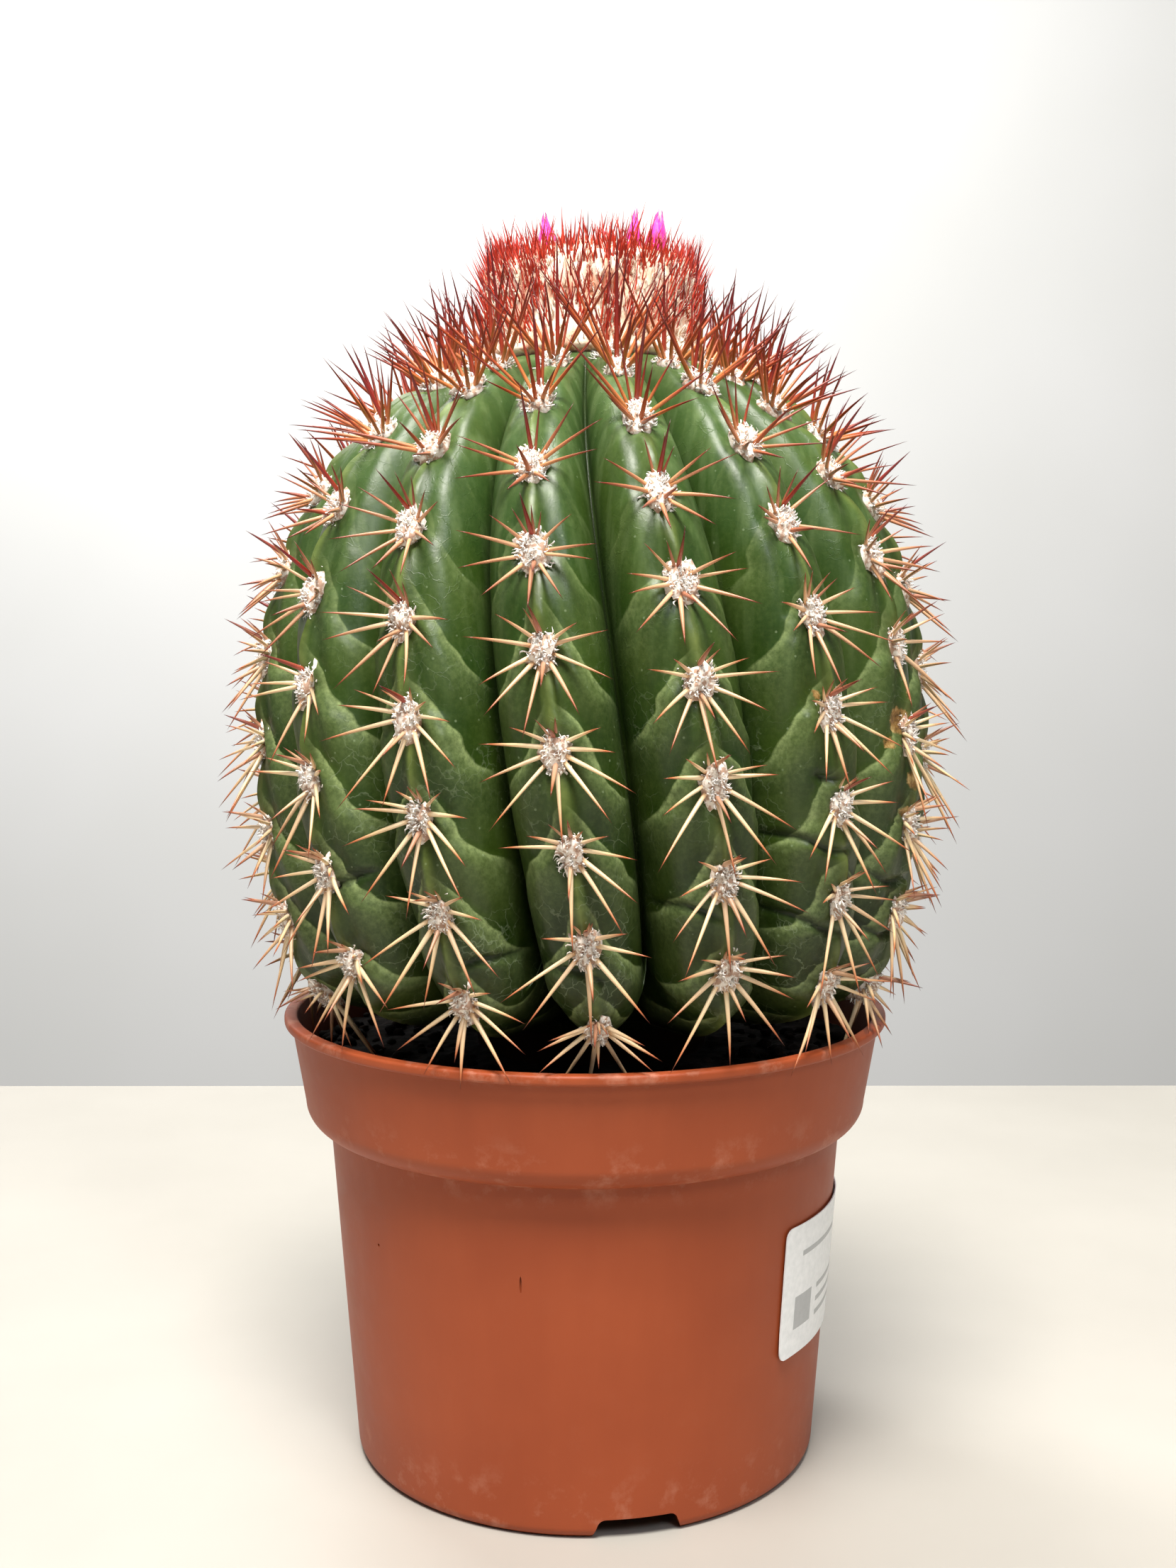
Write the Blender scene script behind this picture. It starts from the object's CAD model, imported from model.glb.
"""The finished look of a potted Turk's-cap cactus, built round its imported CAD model."""

import math
import random

import bmesh
import bpy
import numpy as np
from mathutils import Matrix, Vector, noise


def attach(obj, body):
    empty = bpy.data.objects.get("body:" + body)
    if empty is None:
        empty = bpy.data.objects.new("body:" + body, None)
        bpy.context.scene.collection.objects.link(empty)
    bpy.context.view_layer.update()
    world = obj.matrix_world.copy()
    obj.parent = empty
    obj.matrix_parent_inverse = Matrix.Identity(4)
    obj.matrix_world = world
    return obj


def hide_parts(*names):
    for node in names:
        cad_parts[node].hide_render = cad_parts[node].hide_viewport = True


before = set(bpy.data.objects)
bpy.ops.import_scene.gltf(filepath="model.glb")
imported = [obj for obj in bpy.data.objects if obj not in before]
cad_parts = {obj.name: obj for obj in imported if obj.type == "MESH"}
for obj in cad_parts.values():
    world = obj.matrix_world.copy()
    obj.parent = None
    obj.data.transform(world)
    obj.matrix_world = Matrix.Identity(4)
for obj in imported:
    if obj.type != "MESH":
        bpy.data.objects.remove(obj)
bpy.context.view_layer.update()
MM = 0.001

# ---------------------------------------------------------------- nursery pot
# One injection moulding in brick-red polypropylene, 1.3 mm thick: a tapered wall, a collar
# that steps out below a thin rolled lip, and a raised floor with drain holes. It stands on
# a flat ring that three shallow notches break, and handling has left chalky scuffs on it.

POT_HEIGHT = 103 * MM
POT_RIM_RADIUS = 70 * MM
POT_WALL = 1.3 * MM
LIP_THICKNESS = 2.2 * MM
LIP_CORNER = 0.7 * MM
COLLAR_TOP_RADIUS = 68.3 * MM
COLLAR_LOW_RADIUS = 65.3 * MM
COLLAR_BOTTOM = 77.4 * MM
COLLAR_STEP = 5.6 * MM
FOOT_RADIUS = 54.0 * MM
FOOT_FILLET = 2.5 * MM
FOOT_WIDTH = 3.4 * MM
FLOOR_RISE = 4.6 * MM
NOTCH_BEARING = 12.0
NOTCH_WIDTHS = (21.8 * MM, 16.4 * MM)
NOTCH_HEIGHT = 4.3 * MM
DRAIN_RADIUS = 4.5 * MM
DRAIN_CIRCLE = 31 * MM
# A nick and a pinhole in the wall: bearing, height, width and how tall it is.
WALL_MARKS = ((-13.2, 56 * MM, 0.5 * MM, 3.6 * MM), (-50.3, 57.5 * MM, 0.7 * MM, 0.7 * MM))
NOTCH_COUNT = 3
NOTCH_CORNER = 1.2 * MM
RING_DRAINS = 6
POT_STEPS = 288
MOTTLING = 30 * MM            # patches of pigment
FLOW_STREAK = 4 * MM          # streaks of pigment, which run up the wall
RUB = 7 * MM                  # chalky rubs
SPARK_GRAIN = 0.4 * MM        # the mould's texture, coarser than the real 0.1 mm so that it shows
STREAK_SHARE = 0.35
SHARP_ANGLE = 35.0            # degrees between faces that make an edge
CHALK_SHARE = 0.75


def linear(code):
    """An sRGB hex colour as linear RGBA."""
    channels = [int(code[place:place + 2], 16) / 255 for place in (1, 3, 5)]
    return (*[c / 12.92 if c <= 0.04045 else ((c + 0.055) / 1.055) ** 2.4 for c in channels], 1.0)


def add(finish, kind, inputs=None, stops=(), **settings):
    """A node with its settings, the values and links of its inputs, and a ramp's stops."""
    made = finish.node_tree.nodes.new("ShaderNode" + kind)
    for name, value in settings.items():
        setattr(made, name, value)
    for name, value in (inputs or {}).items():
        if isinstance(value, bpy.types.NodeSocket):
            finish.node_tree.links.new(value, made.inputs[name])
        else:
            made.inputs[name].default_value = value
    for index, (place, colour) in enumerate(stops):
        if index > 1:
            made.color_ramp.elements.new(place)
        made.color_ramp.elements[index].position = place
        made.color_ramp.elements[index].color = linear(colour)
    return made


def finish_of(name, roughness, specular=0.5, sheen=0.0):
    """A new material and its Principled node, with the values that hold all over it."""
    made = bpy.data.materials.new(name)
    made.use_nodes = True
    shader = made.node_tree.nodes["Principled BSDF"]
    shader.inputs["Roughness"].default_value = roughness
    shader.inputs["Specular IOR Level"].default_value = specular
    shader.inputs["Sheen Weight"].default_value = sheen
    return made, shader


def per(size):
    """The scale of a pattern whose features are about this size."""
    return 1 / size


def around(bearing, radius, height, centre_x=0.0):
    """A point by its bearing from the front, in degrees towards +X."""
    angle = math.radians(bearing)
    return Vector((centre_x + radius * math.sin(angle), -radius * math.cos(angle), height))


def piece(name, points, faces, finish, slot, stands_for=(), marks=None, creased=False):
    """A finished piece of the object, riding on it and standing for its CAD nodes."""
    mesh = bpy.data.meshes.new(name)
    mesh.from_pydata([tuple(p) for p in points], [], faces)
    for mark, values in (marks or {}).items():
        mesh.attributes.new(mark, "FLOAT", "POINT").data.foreach_set("value", values)
    mesh.shade_smooth()
    if creased:
        mesh.set_sharp_from_angle(angle=math.radians(SHARP_ANGLE))
    mesh.materials.append(finish)
    made = bpy.data.objects.new(name, mesh)
    bpy.context.scene.collection.objects.link(made)
    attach(made, "root")
    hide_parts(*stands_for)
    return made


def lathe(profile, steps, centre_x=0.0):
    """Points and outward faces of a profile turned about Z. Its ends lie on the axis."""
    points = [(centre_x, 0.0, profile[0][1])]
    for radius, height in profile[1:-1]:
        for column in range(steps):
            angle = math.tau * column / steps
            points.append((centre_x + radius * math.cos(angle), radius * math.sin(angle), height))
    points.append((centre_x, 0.0, profile[-1][1]))
    rings = len(profile) - 2
    faces = []
    for column in range(steps):
        beside = (column + 1) % steps
        faces.append((0, 1 + column, 1 + beside))
        for ring in range(rings - 1):
            low = 1 + ring * steps
            faces.append((low + column, low + steps + column, low + steps + beside, low + beside))
        last = 1 + (rings - 1) * steps
        faces.append((last + column, len(points) - 1, last + beside))
    return points, faces


def arc(centre, radius, start, end, count):
    """Profile points on an arc, in degrees from +radius to +height."""
    found = []
    for index in range(count + 1):
        angle = math.radians(start + (end - start) * index / count)
        found.append((centre[0] + radius * math.cos(angle), centre[1] + radius * math.sin(angle)))
    return found


def wall_radius(height):
    """Outside of the pot's tapered wall."""
    top = COLLAR_LOW_RADIUS - COLLAR_STEP
    return FOOT_RADIUS + (top - FOOT_RADIUS) * (height - FOOT_FILLET) / (COLLAR_BOTTOM - FOOT_FILLET)


def carve(target, cutter):
    """Cuts a bmesh from a piece and keeps the result as the piece's mesh."""
    tool = bpy.data.objects.new("tool", bpy.data.meshes.new("tool"))
    cutter.to_mesh(tool.data)
    cutter.free()
    bpy.context.scene.collection.objects.link(tool)
    boolean = target.modifiers.new("cut", "BOOLEAN")
    boolean.object = tool
    boolean.solver = "EXACT"
    graph = bpy.context.evaluated_depsgraph_get()
    cut_mesh = bpy.data.meshes.new_from_object(target.evaluated_get(graph))
    target.modifiers.clear()
    target.data = cut_mesh
    bpy.data.objects.remove(tool)


ring_outer = FOOT_RADIUS - FOOT_FILLET
ring_inner = ring_outer - FOOT_WIDTH
turn_centre = (COLLAR_LOW_RADIUS - COLLAR_STEP, COLLAR_BOTTOM + COLLAR_STEP)
lip_low = POT_HEIGHT - LIP_THICKNESS
lip_inner = COLLAR_TOP_RADIUS - POT_WALL
pot_profile = [
    (0.0, FLOOR_RISE + POT_WALL),
    (ring_inner - POT_WALL, FLOOR_RISE + POT_WALL),
    (ring_inner, POT_WALL),
    (ring_outer, POT_WALL),
    *[(wall_radius(z) - POT_WALL, z) for z in np.linspace(5 * MM, COLLAR_BOTTOM, 12)],
    *arc(turn_centre, COLLAR_STEP - POT_WALL, -90, 0, 8),
    (lip_inner, POT_HEIGHT - LIP_CORNER),
    *arc((lip_inner + LIP_CORNER, POT_HEIGHT - LIP_CORNER), LIP_CORNER, 180, 90, 4)[1:],
    *arc((POT_RIM_RADIUS - LIP_CORNER, POT_HEIGHT - LIP_CORNER), LIP_CORNER, 90, 0, 5),
    *arc((POT_RIM_RADIUS - LIP_CORNER, lip_low + LIP_CORNER), LIP_CORNER, 0, -90, 5),
    (COLLAR_TOP_RADIUS + 0.3 * MM, lip_low),
    (COLLAR_TOP_RADIUS, lip_low - 0.3 * MM),
    *arc(turn_centre, COLLAR_STEP, 0, -78, 12),
    (turn_centre[0] + 0.7 * MM, COLLAR_BOTTOM + 0.1 * MM),
    (turn_centre[0], COLLAR_BOTTOM + 0.15 * MM),
    *[(wall_radius(z), z) for z in np.linspace(COLLAR_BOTTOM - 2 * MM, FOOT_FILLET + 1 * MM, 16)],
    *arc((ring_outer, FOOT_FILLET), FOOT_FILLET, 0, -90, 8),
    (ring_inner, 0.0),
    (ring_inner - POT_WALL, FLOOR_RISE),
    (0.0, FLOOR_RISE),
]
# Injection-moulded polypropylene in a brick-red pigment, from a spark-eroded mould: an even,
# dense colour with a soft satin sheen, chalkier and duller where it has been rubbed.
pot_plastic, shader = finish_of("moulded_polypropylene", 0.5, specular=0.3)
place = add(pot_plastic, "TexCoord").outputs["Object"]
# Pigment: broad mottling, and flow streaks that run up the wall.
mottle = add(pot_plastic, "TexNoise", {"Vector": place, "Scale": per(MOTTLING), "Detail": 3.0})
drawn = add(pot_plastic, "Mapping", {"Vector": place, "Scale": (1.0, 1.0, 0.12)})
streaks = add(
    pot_plastic, "TexNoise", {"Vector": drawn.outputs[0], "Scale": per(FLOW_STREAK), "Detail": 4.0},
)
pigment = add(
    pot_plastic, "ValToRGB", {"Fac": mottle.outputs["Fac"]},
    stops=((0.3, "#964422"), (0.7, "#A04B27")),
)
streaked = add(
    pot_plastic, "Mix", {0: streaks.outputs["Fac"], 6: pigment.outputs[0], 7: linear("#8A3A1A")},
    data_type="RGBA",
)
soft_streaks = add(
    pot_plastic, "Mix", {0: STREAK_SHARE, 6: pigment.outputs[0], 7: streaked.outputs[2]},
    data_type="RGBA",
)
# Scuffs: chalky rubs in bands at the collar's lower edge, the lip and the foot.
height = add(pot_plastic, "SeparateXYZ", {"Vector": place}).outputs["Z"]
bands = add(
    pot_plastic, "ValToRGB",
    {"Fac": add(pot_plastic, "MapRange", {"Value": height, "From Max": POT_HEIGHT}).outputs[0]},
    stops=(
        (0.0, "#C8C8C8"), (0.16, "#303030"), (0.70, "#202020"), (0.76, "#C0C0C0"),
        (0.82, "#909090"), (0.87, "#282828"), (0.965, "#303030"), (1.0, "#E0E0E0"),
    ),
)
rubs = add(
    pot_plastic, "TexNoise",
    {"Vector": place, "Scale": per(RUB), "Detail": 7.0, "Roughness": 0.68},
)
patches = add(
    pot_plastic, "ValToRGB", {"Fac": rubs.outputs["Fac"]}, stops=((0.52, "#000000"), (0.68, "#FFFFFF")),
)
chalk = add(
    pot_plastic, "Math", {0: patches.outputs[0], 1: bands.outputs[0]}, operation="MULTIPLY",
)
soft_chalk = add(pot_plastic, "Math", {0: chalk.outputs[0], 1: CHALK_SHARE}, operation="MULTIPLY")
scuffed = add(
    pot_plastic, "Mix", {0: soft_chalk.outputs[0], 6: soft_streaks.outputs[2], 7: linear("#C79078")},
    data_type="RGBA",
)
pot_plastic.node_tree.links.new(scuffed.outputs[2], shader.inputs["Base Color"])
dulled = add(
    pot_plastic, "MapRange", {"Value": rubs.outputs["Fac"], "To Min": 0.40, "To Max": 0.62},
)
pot_plastic.node_tree.links.new(dulled.outputs[0], shader.inputs["Roughness"])
grain = add(pot_plastic, "TexNoise", {"Vector": place, "Scale": per(SPARK_GRAIN), "Detail": 2.0})
pot_bump = add(
    pot_plastic, "Bump", {"Height": grain.outputs["Fac"], "Strength": 0.25, "Distance": 0.04 * MM},
)
pot_plastic.node_tree.links.new(pot_bump.outputs[0], shader.inputs["Normal"])

pot = piece(
    "nursery_pot", *lathe(pot_profile, POT_STEPS), pot_plastic, "terracotta_plastic", ["pot"],
)
cutters = bmesh.new()
for index in range(NOTCH_COUNT):
    turn = Matrix.Rotation(math.radians(NOTCH_BEARING + 360 / NOTCH_COUNT * index), 4, "Z")
    block = bmesh.ops.create_cube(cutters, size=1.0)["verts"]
    edges = []
    for vert in block:
        high = vert.co.z > 0
        reach = FOOT_RADIUS + 3 * MM if vert.co.y < 0 else ring_inner - POT_WALL - 3 * MM
        vert.co = Vector((vert.co.x * NOTCH_WIDTHS[high], -reach, NOTCH_HEIGHT if high else -3 * MM))
    for edge in {edge for vert in block for edge in vert.link_edges}:
        along_y = abs(edge.verts[0].co.y - edge.verts[1].co.y)
        if along_y > 5 * MM and edge.verts[0].co.z > 0:
            edges.append(edge)
    rounded = bmesh.ops.bevel(
        cutters, geom=edges, offset=NOTCH_CORNER, segments=4, affect="EDGES", profile=0.5,
    )
    corners = set(block) | set(rounded["verts"])
    bmesh.ops.transform(cutters, matrix=turn, verts=[v for v in corners if v.is_valid])
carve(pot, cutters)
cutters = bmesh.new()
for index in range(RING_DRAINS + 1):
    spot = around(360 / RING_DRAINS * (index + 0.5), DRAIN_CIRCLE, 0.0)
    if index == RING_DRAINS:
        spot = Vector()
    bmesh.ops.create_cone(
        cutters, cap_ends=True, segments=32, radius1=DRAIN_RADIUS, radius2=DRAIN_RADIUS,
        depth=4 * MM, matrix=Matrix.Translation(spot + Vector((0, 0, FLOOR_RISE + POT_WALL / 2))),
    )
carve(pot, cutters)
cutters = bmesh.new()
for bearing, height, width, tall in WALL_MARKS:
    turn = Matrix.Rotation(math.radians(bearing), 4, "Z")
    spot = turn @ Matrix.Translation((0, -wall_radius(height), height))
    bmesh.ops.create_cone(
        cutters, cap_ends=True, segments=12, radius1=0.5, radius2=0.5, depth=1.0,
        matrix=spot @ Matrix.Diagonal((width, 1 * MM, tall, 1)) @ Matrix.Rotation(math.pi / 2, 4, "X"),
    )
carve(pot, cutters)
pot.data.shade_smooth()
pot.data.set_sharp_from_angle(angle=math.radians(SHARP_ANGLE))

# ---------------------------------------------------------------- potting mix
# A peat and bark blend that fills the pot to a little below the rim. Watering has left it
# dark and settled, with crumbs of bark standing on the surface.

SOIL_TOP = 93.5 * MM
SOIL_MOUND = 1.6 * MM
CRUMBS = 420
CRUMB_SIZES = (0.7 * MM, 1.9 * MM)
CRUMB = 2.5 * MM
NECK_RADIUS = 29 * MM
STEM_X = 1.5 * MM


def collar_inside(height):
    """Inside of the collar's slightly tapered wall."""
    share = (height - turn_centre[1]) / (POT_HEIGHT - turn_centre[1])
    return COLLAR_LOW_RADIUS + (COLLAR_TOP_RADIUS - COLLAR_LOW_RADIUS) * share - POT_WALL


def joined(parts):
    """Points, faces and marks of several meshes as one."""
    points, faces, marks, count = [], [], {}, 0
    for part_points, part_faces, part_marks in parts:
        points.append(np.asarray(part_points))
        faces += [tuple(int(corner) + count for corner in face) for face in part_faces]
        for mark, values in part_marks.items():
            marks.setdefault(mark, []).append(np.asarray(values))
        count += len(part_points)
    return np.concatenate(points), faces, {m: np.concatenate(v) for m, v in marks.items()}


def pebble(centre, size, seed, rings=5, steps=8):
    """A rough closed lump, flattened a little."""
    profile = [(math.sin(math.pi * i / rings), math.cos(math.pi * i / rings)) for i in range(rings + 1)]
    points, faces = lathe([(0.0, 1.0), *profile[1:-1], (0.0, -1.0)], steps)
    shaped = []
    for point in points:
        unit = Vector(point)
        lump = 1 + 0.45 * noise.noise(unit * 1.3 + Vector((seed, 0, 0)))
        shaped.append(centre + Vector((unit.x * size, unit.y * size, unit.z * size * 0.7)) * lump)
    return shaped, faces


soil_edge = collar_inside(SOIL_TOP) - 0.3 * MM
soil_profile = [(0.0, SOIL_TOP + SOIL_MOUND)]
soil_profile += [(soil_edge * s, SOIL_TOP + SOIL_MOUND * (1 - s)) for s in np.linspace(0.04, 0.985, 44)]
soil_profile += [
    (soil_edge, SOIL_TOP - 1 * MM),
    (collar_inside(turn_centre[1]) - 0.3 * MM, turn_centre[1]),
    (wall_radius(COLLAR_BOTTOM) - 1.6 * MM, COLLAR_BOTTOM + POT_WALL),
    (wall_radius(COLLAR_BOTTOM) - 1.6 * MM, COLLAR_BOTTOM),
    (wall_radius(6.2 * MM) - 1.6 * MM, 6.2 * MM),
    (0.0, 6.2 * MM),
]
soil_points, soil_faces = lathe(soil_profile, 144)
roughened = []
for point in soil_points:
    point = Vector(point)
    if point.z > SOIL_TOP - 0.6 * MM:
        point.z += 0.9 * MM * noise.noise(point / (9 * MM)) + 0.7 * MM * noise.noise(point / (2.5 * MM))
    roughened.append(point)
draw = random.Random(11)
soil_parts = [(roughened, soil_faces, {})]
for index in range(CRUMBS):
    spot = around(
        draw.uniform(0, 360), draw.uniform(NECK_RADIUS + 5 * MM, soil_edge - 2.5 * MM),
        SOIL_TOP + draw.uniform(0.0, 1.2) * MM,
    )
    soil_parts.append((*pebble(spot, draw.uniform(*CRUMB_SIZES), index), {}))
# Damp peat with bark crumbs, loose and fibrous: nearly black, quite matt, browner on the crumbs.
peat, shader = finish_of("peat_and_bark_mix", 0.95, specular=0.2)
place = add(peat, "TexCoord").outputs["Object"]
crumb = add(peat, "TexNoise", {"Vector": place, "Scale": per(CRUMB), "Detail": 6.0})
tint = add(
    peat, "ValToRGB", {"Fac": crumb.outputs["Fac"]},
    stops=((0.35, "#0B0705"), (0.62, "#1C130D"), (0.8, "#352518")),
)
peat.node_tree.links.new(tint.outputs[0], shader.inputs["Base Color"])
peat_bump = add(
    peat, "Bump", {"Height": crumb.outputs["Fac"], "Strength": 0.8, "Distance": 0.8 * MM},
)
peat.node_tree.links.new(peat_bump.outputs[0], shader.inputs["Normal"])
points, faces, marks = joined(soil_parts)
piece("potting_mix_fill", points, faces, peat, "potting_mix", ["soil"])

# ---------------------------------------------------------------- stem
# The living barrel, which grew in one piece: sixteen ribs that turn a little as they rise,
# swollen into tubercles between the areoles, with narrow furrows between them. It narrows
# under the ribs' lobed ends to a corky neck and root crown that stand in the mix.

STEM_RADIUS = 75.8 * MM
STEM_MIDDLE = 160 * MM
SHOULDER_HEIGHT = 93 * MM
SHOULDER_POWER = 2.35
LOWER_TAPER = 101 * MM
STEM_BOTTOM = 104.5 * MM
LOBE_HEIGHT = 12 * MM
CAP_RADIUS = 25 * MM
RIB_COUNT = 16
RIB_COLUMNS = 24
RIB_BEARING = -4.5
RIB_TWIST = -110.0            # degrees per metre
FURROW_DEPTH = 19 * MM
AREOLE_PITCH = 19.3 * MM
AREOLE_BELOW_CAP = 7 * MM
ROW_SPACING = 0.72 * MM
FURROW_CROWDING = 1.35        # how much closer columns stand towards the furrow
SLIT_SHARE = 0.64             # of the furrow's depth that its steep slit takes
CHEVRON_START = 0.5           # pitches below an areole where a tubercle's edge meets the crest
CHEVRON_DROP = 1.2            # and that the edge drops from there to the furrow
CHEVRON_WANDER = 0.22
CREST_HUMP = 2.0 * MM
TUBERCLE_STEP = 2.1 * MM
FLANK_SWELL = 1.4 * MM
AREOLE_DIP, AREOLE_DIP_WIDTH = 1.3 * MM, 4.5 * MM
FOLD_DEPTH, FOLD_WIDTH = 1.5 * MM, 0.75 * MM
RIPPLES = (11 * MM, 3.5 * MM)
RIPPLE_HEIGHT = 0.35 * MM
SCAR_HEIGHT = 0.25 * MM
BLOTCH = 14 * MM
SUN_PATCH = 22 * MM
YOUNG_STREAK = 3 * MM
BLOOM_GRAIN = 1.1 * MM        # coarser than the real wax grains, so that they show
CREST_WEAR = 5 * MM
SCRATCH_BEND = 4 * MM
SCRATCH_CELL = 4.5 * MM
SPECK_SPACING = 3.2 * MM
CORK_GRAIN = 2.2 * MM
PORE = 0.9 * MM               # coarser than the real 0.2 mm
# Old wounds healed to cork: rib, areoles down from the cap, place across the flank, radius.
SCARS = (
    (3, 3.58, 0.04, 1.9 * MM), (3, 3.86, -0.22, 3.4 * MM), (3, 4.52, 0.02, 2.8 * MM),
    (3, 2.72, 0.15, 1.6 * MM), (3, 4.1, -0.45, 1.6 * MM), (2, 3.86, -0.22, 1.3 * MM),
    (3, 4.9, -0.12, 1.8 * MM), (4, 4.3, -0.2, 2.4 * MM), (2, 5.85, 0.12, 1.5 * MM),
)
# Folds where the stem has slumped: rib, areoles down, first and last place across the flank.
FOLDS = (
    (2, 5.42, -0.95, 0.1), (2, 6.32, -0.98, 0.05), (3, 5.62, -0.7, 0.6), (3, 6.25, -0.8, 0.3),
    (2, 4.66, -0.35, 0.02), (1, 6.4, -0.9, -0.1), (15, 6.6, 0.1, 0.85), (14, 6.1, -0.2, 0.7),
    (0, 7.35, -0.6, 0.2), (9, 6.2, -0.8, 0.5), (7, 5.4, -0.3, 0.8), (11, 6.6, -0.7, 0.7),
)


def crest_table():
    """Arc length, radius, height and outward normal down the crest, at fine steps."""
    start = math.asin((CAP_RADIUS / STEM_RADIUS) ** (SHOULDER_POWER / 2))
    angle = np.linspace(start, math.pi / 2, 700)
    power = 2 / SHOULDER_POWER
    radius = STEM_RADIUS * np.sin(angle) ** power
    height = STEM_MIDDLE + SHOULDER_HEIGHT * np.clip(np.cos(angle), 0, 1) ** power
    drop = (STEM_MIDDLE - STEM_BOTTOM) * np.sin(np.linspace(0, math.pi / 2, 900)[1:])
    rise = np.clip(1 - (drop - (STEM_MIDDLE - STEM_BOTTOM - LOBE_HEIGHT)) / LOBE_HEIGHT, 0, 1)
    curl = (1 - (1 - rise) ** 3) ** (1 / 3)
    below = NECK_RADIUS + (STEM_RADIUS * np.sqrt(1 - (drop / LOWER_TAPER) ** 2) - NECK_RADIUS) * curl
    radius = np.concatenate([radius, below])
    height = np.concatenate([height, STEM_MIDDLE - drop])
    length = np.concatenate([[0], np.cumsum(np.hypot(np.diff(radius), np.diff(height)))])
    return length, radius, height


crest_length, crest_radius, crest_height = crest_table()


def crest_at(length):
    """Radius, height and outward normal (r, z) at lengths down the crest."""
    step = 0.4 * MM
    ends = [np.interp(length + side * step, crest_length, crest_radius) for side in (-1, 1)]
    rises = [np.interp(length + side * step, crest_length, crest_height) for side in (-1, 1)]
    along = np.hypot(ends[1] - ends[0], rises[1] - rises[0])
    radius = np.interp(length, crest_length, crest_radius)
    height = np.interp(length, crest_length, crest_height)
    return radius, height, (rises[0] - rises[1]) / along, (ends[1] - ends[0]) / along


def areole_shift(rib):
    """How far the rib's first areole lies below the highest place for one, in pitches."""
    return (0.035 + rib * 5 / 16) % 1.0


def eased(value, low, high):
    share = np.clip((value - low) / (high - low), 0, 1)
    return share * share * (3 - 2 * share)


fine_rows = np.arange(0, crest_length[-1] - 34 * MM, ROW_SPACING)
coarse_rows = np.linspace(fine_rows[-1] + 2 * MM, crest_length[-1], 14)
rows = np.concatenate([fine_rows, coarse_rows])
columns = np.arange(RIB_COUNT * RIB_COLUMNS)
rib_of = np.round(columns / RIB_COLUMNS).astype(int) % RIB_COUNT
across = (columns / RIB_COLUMNS - np.round(columns / RIB_COLUMNS)) * 2
# Columns stand closer towards the furrow, where the flank turns in sharply.
across = np.sign(across) * (1 - (1 - np.abs(across)) ** FURROW_CROWDING)
LENGTH, ACROSS = np.meshgrid(rows, across, indexing="ij")
SHIFT = np.array([areole_shift(rib) for rib in range(RIB_COUNT)])[rib_of][None, :]
RADIUS, HEIGHT, OUT_R, OUT_Z = crest_at(LENGTH)
side = np.abs(ACROSS)
down = (LENGTH - AREOLE_BELOW_CAP) / AREOLE_PITCH - SHIFT     # areoles down from the cap
bearing = RIB_BEARING + (np.round(columns / RIB_COLUMNS) + across / 2)[None, :] * 360 / RIB_COUNT
bearing = np.radians(bearing + RIB_TWIST * (HEIGHT - STEM_MIDDLE))
# Furrows: steep-sided slits between pillowed flanks.
open_share = np.clip((RADIUS - CAP_RADIUS) / (STEM_RADIUS - CAP_RADIUS), 0, 1)
depth = FURROW_DEPTH * np.where(HEIGHT > STEM_MIDDLE, open_share ** 0.5, 1.0)
depth *= 1 + 0.3 * np.clip((STEM_MIDDLE - HEIGHT) / (STEM_MIDDLE - STEM_BOTTOM), 0, 1)
depth = np.minimum(depth, np.where(HEIGHT < STEM_MIDDLE, (RADIUS - NECK_RADIUS) * 0.9, 1.0))
pillow = 1 - np.sqrt(np.clip(1 - side ** 5, 0, 1))
surface = -depth * ((1 - SLIT_SHARE) * side ** 1.15 + SLIT_SHARE * pillow)
# Tubercles: each swells between two areoles and ends abruptly above the lower one.
phase = down % 1.0
swell = eased(phase, 0.02, 0.72) * (1 - eased(phase, 0.84, 1.0))
wrinkle = np.empty_like(LENGTH)
for row in range(len(rows)):
    for column in range(len(columns)):
        spot = around(math.degrees(bearing[row, column]), RADIUS[row, column], HEIGHT[row, column])
        wrinkle[row, column] = noise.noise(spot / RIPPLES[0]) + 0.35 * noise.noise(spot / RIPPLES[1])
tubercle = down - CHEVRON_START - CHEVRON_DROP * side + CHEVRON_WANDER * wrinkle
fade = np.clip(open_share * 3, 0, 1) * eased(HEIGHT, STEM_BOTTOM + 2 * MM, STEM_BOTTOM + 16 * MM)
grown = 0.12 + 0.88 * eased(-HEIGHT, -222 * MM, -168 * MM)
surface += CREST_HUMP * fade * swell * np.exp(-(side / 0.14) ** 2)
flank = eased(side, 0.04, 0.22) * (1 - eased(side, 0.72, 1.0))
step = eased(tubercle % 1.0, 0.0, 0.22) - tubercle % 1.0
surface += TUBERCLE_STEP * fade * grown * flank * step
surface += FLANK_SWELL * fade * np.exp(-((side - 0.5) / 0.28) ** 2)
nearest = np.minimum(phase, 1 - phase) * AREOLE_PITCH
crest_away = side * math.pi * RADIUS / RIB_COUNT
to_areole = np.hypot(nearest, crest_away)
surface -= AREOLE_DIP * fade * np.exp(-(to_areole / AREOLE_DIP_WIDTH) ** 2)
scar = np.zeros_like(LENGTH)
for rib, place_down, place_across, size in SCARS:
    gap = np.hypot(
        (down - place_down) * AREOLE_PITCH,
        (ACROSS - place_across) * math.pi * RADIUS / RIB_COUNT,
    )
    here = np.where(rib_of[None, :] == rib, np.exp(-(gap / size) ** 4), 0)
    scar = np.maximum(scar, here)
fold = np.zeros_like(LENGTH)
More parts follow.
